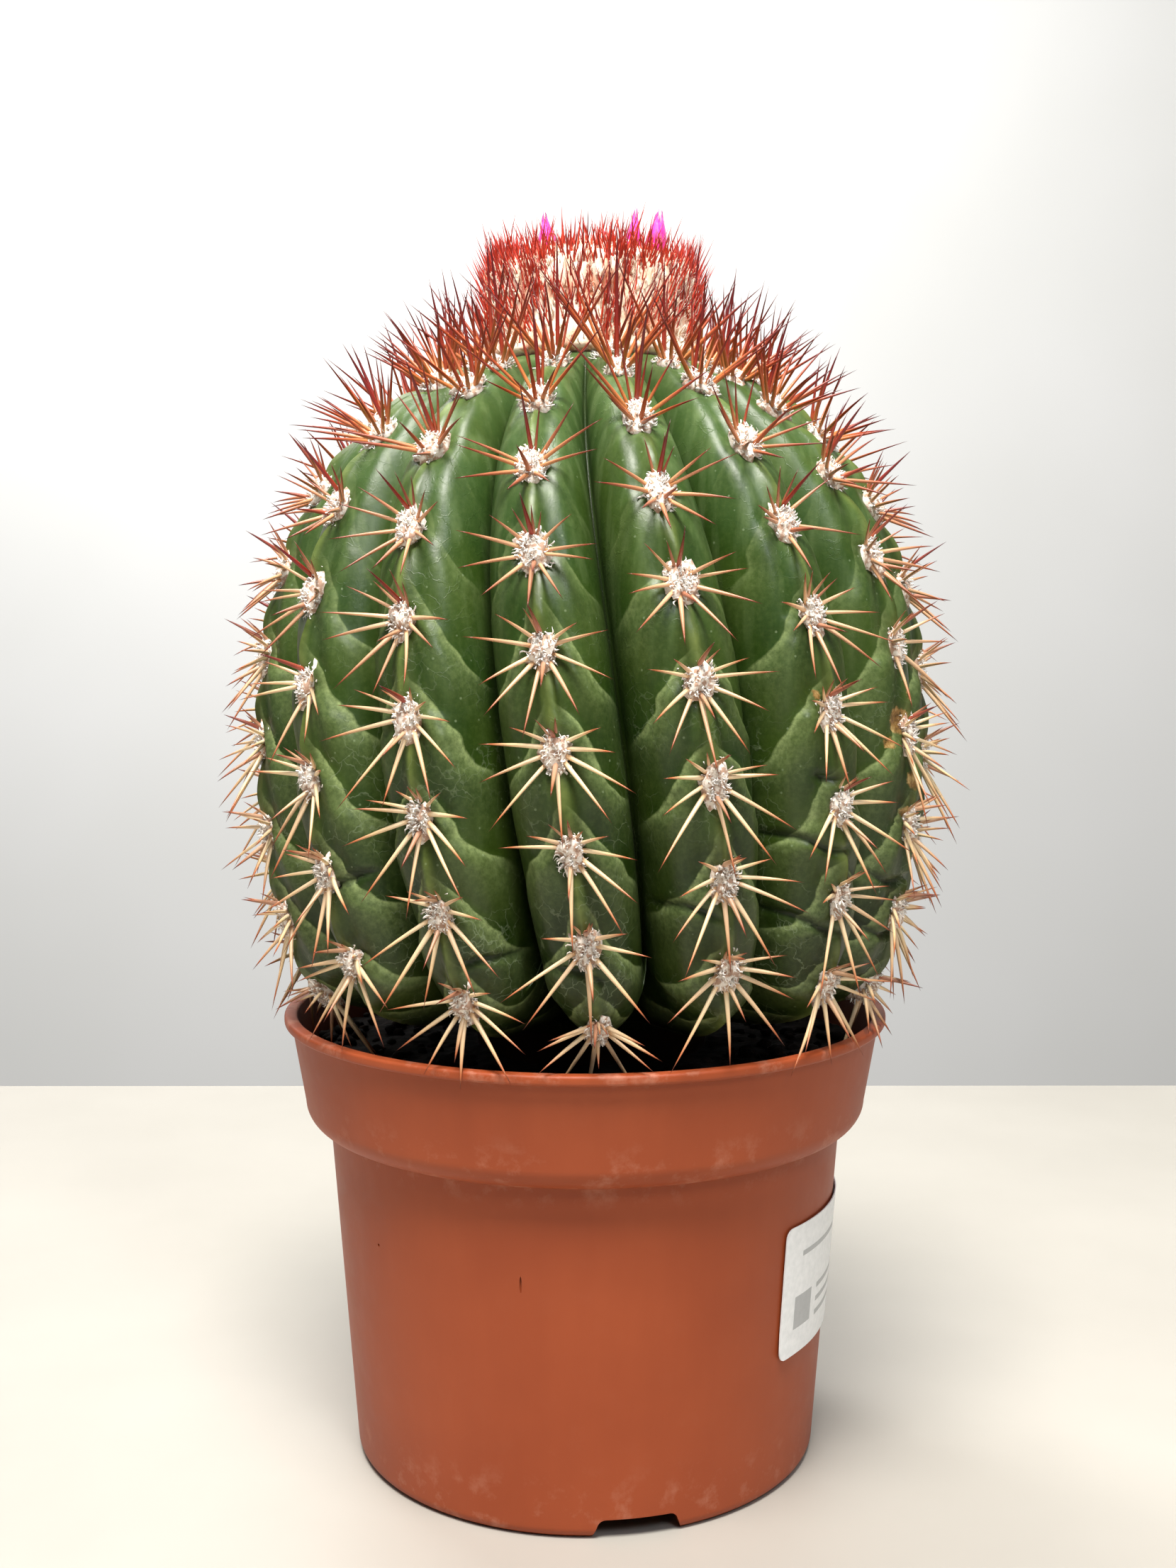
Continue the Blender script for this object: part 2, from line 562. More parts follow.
for rib, place_down, first, last in FOLDS:
    centre = place_down + 0.08 * np.sin(ACROSS * 5 + rib)
    line = np.exp(-((down - centre) * AREOLE_PITCH / FOLD_WIDTH) ** 2)
    ends = eased(ACROSS, first - 0.08, first + 0.12) * (1 - eased(ACROSS, last - 0.12, last + 0.08))
    fold = np.maximum(fold, np.where(rib_of[None, :] == rib, line * ends, 0))
surface -= FOLD_DEPTH * fold
surface += RIPPLE_HEIGHT * fade * wrinkle * (1 - side ** 3)
surface += SCAR_HEIGHT * scar * wrinkle
new_radius = RADIUS + surface * OUT_R
new_height = np.maximum(HEIGHT + surface * OUT_Z, STEM_BOTTOM)
skin_points = np.stack(
    [STEM_X + new_radius * np.sin(bearing), -new_radius * np.cos(bearing), new_height], axis=-1,
)
ring_count, ring_size = LENGTH.shape
grid = np.arange(ring_count * ring_size).reshape(ring_count, ring_size)
beside = np.roll(grid, -1, axis=1)
skin_faces = np.stack([grid[:-1], grid[1:], beside[1:], beside[:-1]], axis=-1).reshape(-1, 4).tolist()


def closing_rings(last_ring, outlines, tip_height, upward, start):
    """Rings (radius, height), numbered from start, that close the skin to a point on its axis."""
    points, faces, ring = [], [], last_ring
    for radius, height in outlines:
        new = start + len(points) + np.arange(ring_size)
        angles = bearing[0] if upward else bearing[-1]
        for angle in angles:
            points.append((STEM_X + radius * math.sin(angle), -radius * math.cos(angle), height))
        quads = np.stack([ring, new, np.roll(new, -1), np.roll(ring, -1)], axis=-1)
        faces += (quads[:, ::-1] if upward else quads).tolist()
        ring = new
    points.append((STEM_X, 0.0, tip_height))
    tip = start + len(points) - 1
    for first, second in zip(ring, np.roll(ring, -1)):
        faces.append((int(second), int(first), tip) if upward else (int(first), tip, int(second)))
    return points, faces


crown = [(20 * MM, crest_height[0]), (10 * MM, crest_height[0])]
top_points, top_faces = closing_rings(grid[0], crown, crest_height[0], True, grid.size)
root = [
    (27.6 * MM, 101 * MM), (26.7 * MM, SOIL_TOP), (17.4 * MM, SOIL_TOP - 17 * MM),
    (5 * MM, SOIL_TOP - 38 * MM),
]
root_points, root_faces = closing_rings(
    grid[-1], root, SOIL_TOP - 38 * MM, False, grid.size + len(top_points),
)
extra = len(top_points) + len(root_points)
skin_marks = {
    "crest": np.exp(-(side / 0.085) ** 2), "furrow": eased(side, 0.9, 1.0),
    "tubercle": tubercle, "flank": flank * grown, "scar": scar, "fold": fold,
    "corky": np.zeros_like(side),
}
skin_marks = {
    mark: np.concatenate([values.ravel(), np.full(extra, float(mark == "corky"))])
    for mark, values in skin_marks.items()
}
stem_points = np.concatenate([skin_points.reshape(-1, 3), top_points, root_points])
# Living cactus skin under a coat of its own wax: deep green with a soft broad sheen, greyed
# where the wax is thick or dusty, and dark and bare in the furrows.
skin, shader = finish_of("waxy_cactus_skin", 0.4, specular=0.3)
place = add(skin, "TexCoord").outputs["Object"]
height = add(skin, "SeparateXYZ", {"Vector": place}).outputs["Z"]
marked = {mark: add(skin, "Attribute", attribute_name=mark).outputs["Fac"] for mark in skin_marks}
# Young skin under the cap is pale and grey-green, and old skin low down is deep green.
aged = add(
    skin, "MapRange", {"Value": height, "From Min": STEM_BOTTOM, "From Max": 250 * MM},
)
blotch = add(skin, "TexNoise", {"Vector": place, "Scale": per(BLOTCH), "Detail": 5.0, "Roughness": 0.6})
patchy = add(
    skin, "MapRange", {"Value": blotch.outputs["Fac"], "To Min": -0.16, "To Max": 0.16},
)
shade = add(skin, "Math", {0: aged.outputs[0], 1: patchy.outputs[0]}, operation="ADD")
green = add(
    skin, "ValToRGB", {"Fac": shade.outputs[0]},
    stops=((0.0, "#142402"), (0.35, "#1A2E06"), (0.7, "#263E12"), (1.0, "#465F31")),
)
# Sun has yellowed the skin in patches.
sun = add(skin, "TexNoise", {"Vector": place, "Scale": per(SUN_PATCH), "Detail": 2.0})
sun_share = add(
    skin, "ValToRGB", {"Fac": sun.outputs["Fac"]}, stops=((0.42, "#000000"), (0.62, "#909090")),
)
sunned = add(
    skin, "Mix", {0: sun_share.outputs[0], 6: green.outputs[0], 7: linear("#46571A")}, data_type="RGBA",
)
# Pale streaks run down the young skin.
drawn = add(skin, "Mapping", {"Vector": place, "Scale": (1.0, 1.0, 0.13)})
streaks = add(skin, "TexNoise", {"Vector": drawn.outputs[0], "Scale": per(YOUNG_STREAK), "Detail": 3.0})
streak_ramp = add(
    skin, "ValToRGB", {"Fac": streaks.outputs["Fac"]}, stops=((0.48, "#000000"), (0.72, "#B0B0B0")),
)
young = add(
    skin, "MapRange",
    {"Value": height, "From Min": 175 * MM, "From Max": 235 * MM, "To Min": 0.12, "To Max": 0.7},
)
streak_share = add(skin, "Math", {0: streak_ramp.outputs[0], 1: young.outputs[0]}, operation="MULTIPLY")
paler = add(
    skin, "Mix", {0: streak_share.outputs[0], 6: sunned.outputs[2], 7: linear("#7F9362")},
    data_type="RGBA",
)
# Each tubercle's lower edge is dusty and pale, and darkens down to the next one.
dust_ramp = add(
    skin, "ValToRGB",
    {"Fac": add(skin, "Math", {0: marked["tubercle"]}, operation="FRACT").outputs[0]},
    stops=((0.0, "#000000"), (0.03, "#FFFFFF"), (0.12, "#A8A8A8"), (0.4, "#707070"), (0.85, "#080808")),
)
grain = add(
    skin, "TexNoise", {"Vector": place, "Scale": per(BLOOM_GRAIN), "Detail": 4.0, "Roughness": 0.7},
)
dust_grain = add(
    skin, "MapRange",
    {"Value": grain.outputs["Fac"], "From Min": 0.3, "From Max": 0.7, "To Min": 0.35, "To Max": 1.25},
)
dust_flank = add(skin, "Math", {0: dust_grain.outputs[0], 1: marked["flank"]}, operation="MULTIPLY")
dust_here = add(skin, "Math", {0: dust_ramp.outputs[0], 1: dust_flank.outputs[0]}, operation="MULTIPLY")
dust_share = add(skin, "Math", {0: dust_here.outputs[0], 1: 0.8}, operation="MULTIPLY", use_clamp=True)
dusty = add(
    skin, "Mix", {0: dust_share.outputs[0], 6: paler.outputs[2], 7: linear("#8A9A64")},
    data_type="RGBA",
)
# The crests are worn to yellow-green.
crest_noise = add(skin, "TexNoise", {"Vector": place, "Scale": per(CREST_WEAR), "Detail": 4.0})
crest_share = add(
    skin, "MapRange",
    {
        "Value": crest_noise.outputs["Fac"], "From Min": 0.3, "From Max": 0.75,
        "To Min": 0.1, "To Max": 0.55,
    },
)
crest_here = add(skin, "Math", {0: crest_share.outputs[0], 1: marked["crest"]}, operation="MULTIPLY")
worn = add(
    skin, "Mix", {0: crest_here.outputs[0], 6: dusty.outputs[2], 7: linear("#8C9852")},
    data_type="RGBA",
)
# Hairline scratches, mostly low down: the thin edges of bent cells, broken up.
warp = add(skin, "TexNoise", {"Vector": place, "Scale": per(SCRATCH_BEND), "Detail": 3.0})
shifted = add(
    skin, "VectorMath", {0: warp.outputs["Color"], 1: (0.006, 0.006, 0.006)}, operation="MULTIPLY",
)
warped = add(skin, "VectorMath", {0: place, 1: shifted.outputs[0]}, operation="ADD")
cells = add(
    skin, "TexVoronoi", {"Vector": warped.outputs[0], "Scale": per(SCRATCH_CELL)},
    feature="DISTANCE_TO_EDGE",
)
hairs = add(
    skin, "ValToRGB", {"Fac": cells.outputs["Distance"]}, stops=((0.0, "#FFFFFF"), (0.035, "#000000")),
)
broken = add(
    skin, "ValToRGB", {"Fac": blotch.outputs["Fac"]}, stops=((0.47, "#000000"), (0.6, "#FFFFFF")),
)
low = add(
    skin, "MapRange",
    {"Value": height, "From Min": 205 * MM, "From Max": 135 * MM, "To Min": 0.0, "To Max": 0.32},
)
scratch_a = add(skin, "Math", {0: hairs.outputs[0], 1: broken.outputs[0]}, operation="MULTIPLY")
scratch_b = add(skin, "Math", {0: scratch_a.outputs[0], 1: low.outputs[0]}, operation="MULTIPLY")
scratched = add(
    skin, "Mix", {0: scratch_b.outputs[0], 6: worn.outputs[2], 7: linear("#98A585")}, data_type="RGBA",
)
# Pale specks of dust and hard water, about a third of a millimetre.
specks = add(skin, "TexVoronoi", {"Vector": place, "Scale": per(SPECK_SPACING)}, feature="F1")
speck_share = add(
    skin, "ValToRGB", {"Fac": specks.outputs["Distance"]}, stops=((0.05, "#A0A0A0"), (0.10, "#000000")),
)
specked = add(
    skin, "Mix", {0: speck_share.outputs[0], 6: scratched.outputs[2], 7: linear("#8B9C78")},
    data_type="RGBA",
)
# The wax bloom is uneven at the scale of a millimetre.
bloom = add(
    skin, "ValToRGB", {"Fac": grain.outputs["Fac"]}, stops=((0.44, "#000000"), (0.72, "#484848")),
)
bloomed = add(
    skin, "Mix", {0: bloom.outputs[0], 6: specked.outputs[2], 7: linear("#768A48")}, data_type="RGBA",
)
# Furrows keep no bloom, and folds are darker still.
furrow_share = add(skin, "Math", {0: marked["furrow"], 1: 0.55}, operation="MULTIPLY")
furrowed = add(
    skin, "Mix", {0: furrow_share.outputs[0], 6: bloomed.outputs[2], 7: linear("#141F0A")},
    data_type="RGBA",
)
fold_share = add(skin, "Math", {0: marked["fold"], 1: 0.8}, operation="MULTIPLY")
folded = add(
    skin, "Mix", {0: fold_share.outputs[0], 6: furrowed.outputs[2], 7: linear("#16220F")},
    data_type="RGBA",
)
# Cork over old wounds and on the neck.
cork_noise = add(
    skin, "TexNoise", {"Vector": place, "Scale": per(CORK_GRAIN), "Detail": 6.0, "Roughness": 0.7},
)
cork = add(
    skin, "ValToRGB", {"Fac": cork_noise.outputs["Fac"]},
    stops=((0.32, "#4A2E16"), (0.5, "#8C6A38"), (0.7, "#C4AC74")),
)
scar_edge = add(skin, "Math", {0: marked["scar"], 1: cork_noise.outputs["Fac"]}, operation="MULTIPLY")
scar_share = add(
    skin, "MapRange", {"Value": scar_edge.outputs[0], "From Min": 0.24, "From Max": 0.36},
)
corked = add(
    skin, "Mix", {0: scar_share.outputs[0], 6: folded.outputs[2], 7: cork.outputs[0]}, data_type="RGBA",
)
barked = add(
    skin, "Mix", {0: marked["corky"], 6: corked.outputs[2], 7: linear("#2A1C10")}, data_type="RGBA",
)
skin.node_tree.links.new(barked.outputs[2], shader.inputs["Base Color"])
gloss = add(
    skin, "MapRange", {"Value": blotch.outputs["Fac"], "To Min": 0.30, "To Max": 0.48},
)
skin.node_tree.links.new(gloss.outputs[0], shader.inputs["Roughness"])
pores = add(skin, "TexNoise", {"Vector": place, "Scale": per(PORE), "Detail": 3.0})
relief = add(skin, "Math", {0: pores.outputs["Fac"], 1: scratch_a.outputs[0]}, operation="ADD")
skin_bump = add(
    skin, "Bump", {"Height": relief.outputs[0], "Strength": 0.3, "Distance": 0.12 * MM},
)
skin.node_tree.links.new(skin_bump.outputs[0], shader.inputs["Normal"])
piece(
    "ribbed_stem", stem_points, skin_faces + top_faces + root_faces, skin, "cactus_skin", ["stem"],
    marks=skin_marks,
)

# ---------------------------------------------------------------- areoles
# Felted pads on the crests, each with a dozen stiff spines: three a side, a few short ones
# above, a long one down and one or two standing out. Young ones under the cap are white and
# dark red, and the felt greys and the spines bleach to straw as they age down the rib.

PAD_WIDTH = 3.0 * MM
PAD_TALL = 4.6 * MM
PAD_PROUD = 2.5 * MM
CURLS = 110
CURL_RADIUS = 0.2 * MM        # coarser than real felt, so that single hairs show
SPINE_BASE = 0.5 * MM
RIM_CLEAR = 1.0 * MM
HAIR_LENGTHS = (1.1 * MM, 2.3 * MM)
PAD_STEPS = 14
SPINE_SIDES = 7
FIBRE = 1.1 * MM
HORN_RIDGE = 0.8 * MM
YOUNG_CROWDING = 7.5 * MM     # how far the newest areole stands out of the even spacing
# Direction from straight up round the pad, rise above the skin, length when young and when
# old, thickness, and how dark it is.
SPINES = (
    (-62, 36, 13.0, 10.5, 0.9, 0.35), (62, 36, 13.0, 10.5, 0.9, 0.35),
    (-87, 27, 15.0, 14.0, 1.0, 0.25), (87, 27, 15.0, 14.0, 1.0, 0.25),
    (-113, 25, 14.5, 16.5, 1.0, 0.25), (113, 25, 14.5, 16.5, 1.0, 0.25),
    (-143, 23, 11.0, 19.0, 1.05, 0.35), (143, 23, 11.0, 19.0, 1.05, 0.35),
    (180, 24, 9.0, 18.0, 1.1, 0.4),
    (-30, 42, 11.5, 7.0, 0.75, 0.7), (24, 45, 11.0, 6.0, 0.75, 0.75), (2, 50, 14.0, 7.5, 0.8, 0.8),
    (-6, 66, 17.5, 10.5, 1.15, 1.0), (172, 58, 9.5, 12.0, 1.1, 0.75),
)


def tubes(paths, radii, sides, marks):
    """Closed tapering tubes along paths (n, m, 3), each ending in a point."""
    count, steps = radii.shape
    axis = paths[:, -1] - paths[:, 0]
    axis /= np.linalg.norm(axis, axis=1, keepdims=True)
    other = np.where(np.abs(axis[:, 2:]) < 0.9, [[0.0, 0.0, 1.0]], [[1.0, 0.0, 0.0]])
    first = np.cross(axis, other)
    first /= np.linalg.norm(first, axis=1, keepdims=True)
    second = np.cross(axis, first)
    turn = np.arange(sides) / sides * math.tau
    ring = first[:, None] * np.cos(turn)[None, :, None] + second[:, None] * np.sin(turn)[None, :, None]
    rings = paths[:, :-1, None] + ring[:, None] * radii[:, :-1, None, None]
    body = rings.reshape(count, (steps - 1) * sides, 3)
    points = np.concatenate([body, paths[:, -1:]], axis=1)
    size = points.shape[1]
    grid = np.arange((steps - 1) * sides).reshape(steps - 1, sides)
    beside = np.roll(grid, -1, axis=1)
    quads = np.stack([grid[:-1], beside[:-1], beside[1:], grid[1:]], axis=-1).reshape(-1, 4)
    tips = np.stack([grid[-1], beside[-1], np.full(sides, size - 1)], axis=-1)
    base = grid[0][::-1]
    faces = []
    for index in range(count):
        shift = index * size
        faces += (quads + shift).tolist() + (tips + shift).tolist() + [(base + shift).tolist()]
    spread = {}
    for mark, values in marks.items():
        values = np.broadcast_to(values, (count, steps))
        ends = np.concatenate([np.repeat(values[:, :-1], sides, axis=1), values[:, -1:]], axis=1)
        spread[mark] = ends.ravel()
    return points.reshape(-1, 3), faces, spread


def areoles_of(rib):
    """One rib's areoles: base, outward, upward, sideways, and age from 0 at the cap to 1."""
    found = []
    for count in range(-1, 12):
        length = AREOLE_BELOW_CAP + (areole_shift(rib) + count) * AREOLE_PITCH
        if count < 0:
            length += YOUNG_CROWDING
            if length < 0.5 * MM:
                continue
        radius, height, out_r, out_z = (float(value) for value in crest_at(length))
        if height < STEM_BOTTOM + LOBE_HEIGHT * 0.15 or out_z < -0.8:
            return found
        bearing = RIB_BEARING + 360 * rib / RIB_COUNT + RIB_TWIST * (height - STEM_MIDDLE)
        turn = Matrix.Rotation(math.radians(bearing), 3, "Z")
        outward = turn @ Vector((0.0, -out_r, out_z))
        upward = turn @ Vector((0.0, out_z, out_r))
        side = turn @ Vector((1.0, 0.0, 0.0))
        base = around(bearing, radius, height, STEM_X) - outward * 0.9 * MM
        age = min(max((250 * MM - height) / (130 * MM), 0.0), 1.0)
        found.append((base, outward, upward, side, age))
    return found


def spine_path(root, direction, bend, length, steps):
    """Points along a spine that curves slightly towards bend."""
    share = np.linspace(0, 1, steps)[:, None]
    return np.array(root) + np.array(direction) * length * share + np.array(bend) * length * share ** 2


def clear_of_rim(path):
    """Whether a spine stays off the pot's lip and out of the pot's wall."""
    radius = np.hypot(path[:, 0], path[:, 1])
    low = path[:, 2] < POT_HEIGHT + RIM_CLEAR
    return not (low & (radius > lip_inner - 2 * MM) & (radius < POT_RIM_RADIUS + RIM_CLEAR)).any()


def spines_of(areole, draw):
    """Paths, radii and marks of one areole's spines."""
    base, outward, upward, side, age = areole
    paths, radii, tones = [], [], []
    crowded = max(0.0, 1 - age * 4)
    for around_pad, lift, young, old, thick, dark in SPINES:
        if draw.random() < (0.25 if thick < 0.85 else 0.08):
            continue
        angle = math.radians(around_pad + draw.uniform(-9, 9))
        rise = math.radians(lift + draw.uniform(-7, 7) + 8 * (1 - age))
        flat = side * math.sin(angle) + upward * math.cos(angle)
        direction = flat * math.cos(rise) + outward * math.sin(rise)
        # Young spines sweep upwards round the cap.
        direction = (direction + Vector((0, 0, 0.6)) * max(0.0, 1 - age * 3.2)).normalized()
        length = young + 10 * crowded + (old - young) * min(age * 1.6, 1.0)
        length = length * draw.uniform(0.84, 1.12) * MM
        bend = upward * -0.05 + outward * draw.uniform(-0.07, 0.05) + side * draw.uniform(-0.05, 0.05)
        root = (base + outward * 0.5 * MM + side * math.sin(angle) * PAD_WIDTH * 0.45
                + upward * math.cos(angle) * PAD_TALL * 0.5)
        path = spine_path(root, direction, bend, length, 7)
        for _ in range(12):
            if clear_of_rim(path):
                break
            direction = (direction + outward * 0.12 + Vector((0, 0, 0.1))).normalized()
            length *= 0.97
            path = spine_path(root, direction, bend, length, 7)
        taper = np.array([1.0, 0.98, 0.88, 0.74, 0.55, 0.31, 0.0])
        paths.append(path)
        radii.append(taper * SPINE_BASE * thick * (0.85 + 0.15 * age) * draw.uniform(0.85, 1.1))
        tones.append((age, dark, draw.random()))
    return paths, radii, tones


def felt_of(areole, draw):
    """A domed pad and its curled hairs: points, faces and marks."""
    base, outward, upward, side, age = areole
    wide = PAD_WIDTH * draw.uniform(0.92, 1.1) * (1.12 - 0.2 * age)
    tall = PAD_TALL * draw.uniform(0.92, 1.12)
    proud = PAD_PROUD * draw.uniform(0.9, 1.15)
    profile = [(math.sin(math.pi * i / 9), math.cos(math.pi * i / 9)) for i in range(10)]
    points, faces = lathe([(0.0, 1.0), *profile[1:-1], (0.0, -1.0)], PAD_STEPS)
    seed = Vector((draw.uniform(0, 99), draw.uniform(0, 99), 0))
    dome = []
    for point in points:
        unit = Vector(point)
        lump = 1 + 0.5 * noise.noise(unit * 1.9 + seed) + 0.3 * noise.noise(unit * 5 + seed)
        dome.append(
            base + (side * unit.x * wide + upward * (unit.y * tall - 0.5 * MM) + outward * unit.z * proud)
            * lump
        )
    paths = []
    for index in range(CURLS):
        angle = draw.uniform(0, math.tau)
        away = math.sqrt(draw.random()) * 1.02
        spot = Vector((math.cos(angle) * away, math.sin(angle) * away, 0))
        spot.z = math.sqrt(max(1 - spot.x ** 2 - spot.y ** 2, 0))
        start = (base + side * spot.x * wide * 0.92 + upward * (spot.y * tall * 0.92 - 0.5 * MM)
                 + outward * spot.z * proud * 0.85)
        grow = (side * spot.x * 0.9 + upward * spot.y * 0.9 + outward * (spot.z + 0.25)).normalized()
        swirl = Vector([draw.gauss(0, 1) for _ in range(3)]).normalized()
        length = draw.uniform(*HAIR_LENGTHS)
        path = []
        for share in (0, 0.33, 0.67, 1.0):
            curl = swirl * math.sin(share * 3.0) * 0.42 + outward.cross(swirl) * share * share * 0.35
            path.append(start + (grow * share * 0.62 + curl) * length)
        paths.append([tuple(point) for point in path])
    taper = np.array([1.0, 1.0, 0.8, 0.0]) * CURL_RADIUS
    hairs = tubes(np.array(paths), np.tile(taper, (CURLS, 1)), 3, {"age": age * 0.6})
    return [(dome, faces, {"age": np.full(len(dome), 0.9)}), hairs]


# Matted plant hair, grown from the areole: white and fluffy with a faint bloom at its edges,
# and brownish where soil and age have got into it.
felt, shader = finish_of("areole_felt", 0.95, sheen=0.2)
place = add(felt, "TexCoord").outputs["Object"]
age = add(felt, "Attribute", attribute_name="age").outputs["Fac"]
fibre = add(felt, "TexNoise", {"Vector": place, "Scale": per(FIBRE), "Detail": 5.0})
soil_in_felt = add(
    felt, "MapRange",
    {
        "Value": fibre.outputs["Fac"], "From Min": 0.3, "From Max": 0.7,
        "To Min": -0.35, "To Max": 0.35,
    },
)
felt_age = add(felt, "Math", {0: age, 1: soil_in_felt.outputs[0]}, operation="ADD")
felt_tint = add(
    felt, "ValToRGB", {"Fac": felt_age.outputs[0]},
    stops=((0.0, "#FCFAF6"), (0.5, "#F4EEE6"), (0.85, "#E2D5C6"), (1.0, "#B08E78")),
)
felt.node_tree.links.new(felt_tint.outputs[0], shader.inputs["Base Color"])
felt_bump = add(
    felt, "Bump", {"Height": fibre.outputs["Fac"], "Strength": 0.6, "Distance": 0.3 * MM},
)
felt.node_tree.links.new(felt_bump.outputs[0], shader.inputs["Normal"])

# Hardened plant tissue, grown from its base and polished by nothing but weather: a hard satin
# gleam, dark red when young and bleached to straw with a red tip when old.
horn, shader = finish_of("horny_spine", 0.38)
age = add(horn, "Attribute", attribute_name="age").outputs["Fac"]
dark = add(horn, "Attribute", attribute_name="dark").outputs["Fac"]
along = add(horn, "Attribute", attribute_name="along").outputs["Fac"]
vary = add(horn, "Attribute", attribute_name="vary").outputs["Fac"]
young_tint = add(
    horn, "ValToRGB", {"Fac": along},
    stops=((0.0, "#D89A5C"), (0.2, "#C87A42"), (0.5, "#A6441F"), (0.75, "#741E15"), (1.0, "#420C0F")),
)
old_tint = add(
    horn, "ValToRGB", {"Fac": along},
    stops=((0.0, "#DDA56C"), (0.2, "#EFD9B2"), (0.55, "#E3BE8E"), (0.8, "#B4663C"), (1.0, "#66200F")),
)
dark_tint = add(
    horn, "ValToRGB", {"Fac": along},
    stops=((0.0, "#A8462A"), (0.3, "#8C2419"), (0.7, "#661617"), (1.0, "#3C0C10")),
)
ageing = add(
    horn, "MapRange", {"Value": age, "From Min": 0.12, "From Max": 0.62},
)
body_tint = add(
    horn, "Mix", {0: ageing.outputs[0], 6: young_tint.outputs[0], 7: old_tint.outputs[0]},
    data_type="RGBA",
)
darkness = add(
    horn, "MapRange", {"Value": dark, "From Min": 0.3, "From Max": 1.0, "To Min": 0.0, "To Max": 1.0},
)
youth = add(
    horn, "MapRange", {"Value": age, "From Min": 0.0, "From Max": 1.0, "To Min": 1.0, "To Max": 0.55},
)
dark_share = add(horn, "Math", {0: darkness.outputs[0], 1: youth.outputs[0]}, operation="MULTIPLY")
uneven = add(
    horn, "MapRange", {"Value": vary, "To Min": -0.16, "To Max": 0.24},
)
dark_total = add(
    horn, "Math", {0: dark_share.outputs[0], 1: uneven.outputs[0]}, operation="ADD", use_clamp=True,
)
spine_tint = add(
    horn, "Mix", {0: dark_total.outputs[0], 6: body_tint.outputs[2], 7: dark_tint.outputs[0]},
    data_type="RGBA",
)
horn.node_tree.links.new(spine_tint.outputs[2], shader.inputs["Base Color"])
place = add(horn, "TexCoord").outputs["Object"]
ridges = add(horn, "TexNoise", {"Vector": place, "Scale": per(HORN_RIDGE), "Detail": 2.0})
horn_bump = add(
    horn, "Bump", {"Height": ridges.outputs["Fac"], "Strength": 0.25, "Distance": 0.08 * MM},
)
horn.node_tree.links.new(horn_bump.outputs[0], shader.inputs["Normal"])

for rib in range(RIB_COUNT):
    draw = random.Random(100 + rib)
    paths, radii, tones, pads = [], [], [], []
    for areole in areoles_of(rib):
        more_paths, more_radii, more_tones = spines_of(areole, draw)
        paths += more_paths
        radii += more_radii
        tones += more_tones
        pads += felt_of(areole, draw)
    tones = np.array(tones)
    along = np.linspace(0, 1, 7)[None, :]
    marks = {"age": tones[:, :1], "dark": tones[:, 1:2], "vary": tones[:, 2:], "along": along}
    points, faces, marks = tubes(np.array(paths), np.array(radii), SPINE_SIDES, marks)
    piece(
        f"spines_{rib + 1:02d}", points, faces, horn, "spine_and_felt",
        [f"spine_row_{rib + 1:02d}"], marks=marks,
    )
    points, faces, marks = joined(pads)
    piece(f"areole_felt_{rib + 1:02d}", points, faces, felt, "spine_and_felt", marks=marks)

# ---------------------------------------------------------------- cephalium
# The woolly cap: a column of matted cream wool, set all over with stiff red bristles that
# lean upwards and stand clear of the top as a crown.

CAP_BOTTOM = crest_height[0] + 0.3 * MM
CAP_TOP = CAP_BOTTOM + 24 * MM
CAP_WIDE = 23.4 * MM
CAP_SHOULDER = 6 * MM
WOOL_CURLS = 2600
SIDE_BRISTLES = 1700
TOP_BRISTLES = 800
CAP_FLARE = 2.2 * MM
CAP_STEPS = 120
BUD_CLEAR = 4.4 * MM
BUD_SHADOW = 13 * MM          # bristles this near a bud are shorter, so that it shows
WOOL_CLUMP = 3 * MM
WOOL_RADIUS = 0.2 * MM        # coarser than real wool, so that single hairs show
BRISTLE_RADII = (0.17, 0.28)  # mm
BRISTLE_SIDES = 4

cap_profile = [
    (0.0, CAP_TOP - 1 * MM),
    *[(CAP_WIDE * s, CAP_TOP - 1 * MM + 0.6 * MM * s) for s in (0.1, 0.2, 0.3, 0.4, 0.5, 0.6, 0.7)],
    *arc((CAP_WIDE - CAP_SHOULDER, CAP_TOP - CAP_SHOULDER), CAP_SHOULDER, 80, 5, 8),
    *[
        (CAP_WIDE + CAP_FLARE * s ** 3, CAP_TOP - CAP_SHOULDER - s * (17 * MM))
        for s in np.linspace(0.05, 1, 16)
    ],
    (CAP_RADIUS - 2 * MM, CAP_BOTTOM),
    (0.0, CAP_BOTTOM),
]
cap_points, cap_faces = lathe(cap_profile, CAP_STEPS, STEM_X)
woolly = []
for point in cap_points:
    point = Vector(point)
    if point.z > CAP_BOTTOM + 0.5 * MM:
        flat = Vector((point.x - STEM_X, point.y, 0))
        clump = noise.noise(Vector((point.x / (3.2 * MM), point.y / (3.2 * MM), point.z / (7 * MM))))
        fuzz = noise.noise(point / (1.3 * MM))
        point += flat.normalized() * (1.0 * clump + 0.4 * fuzz) * MM if flat.length > 1 * MM else Vector()
        point.z += 0.5 * MM * fuzz
    woolly.append(point)


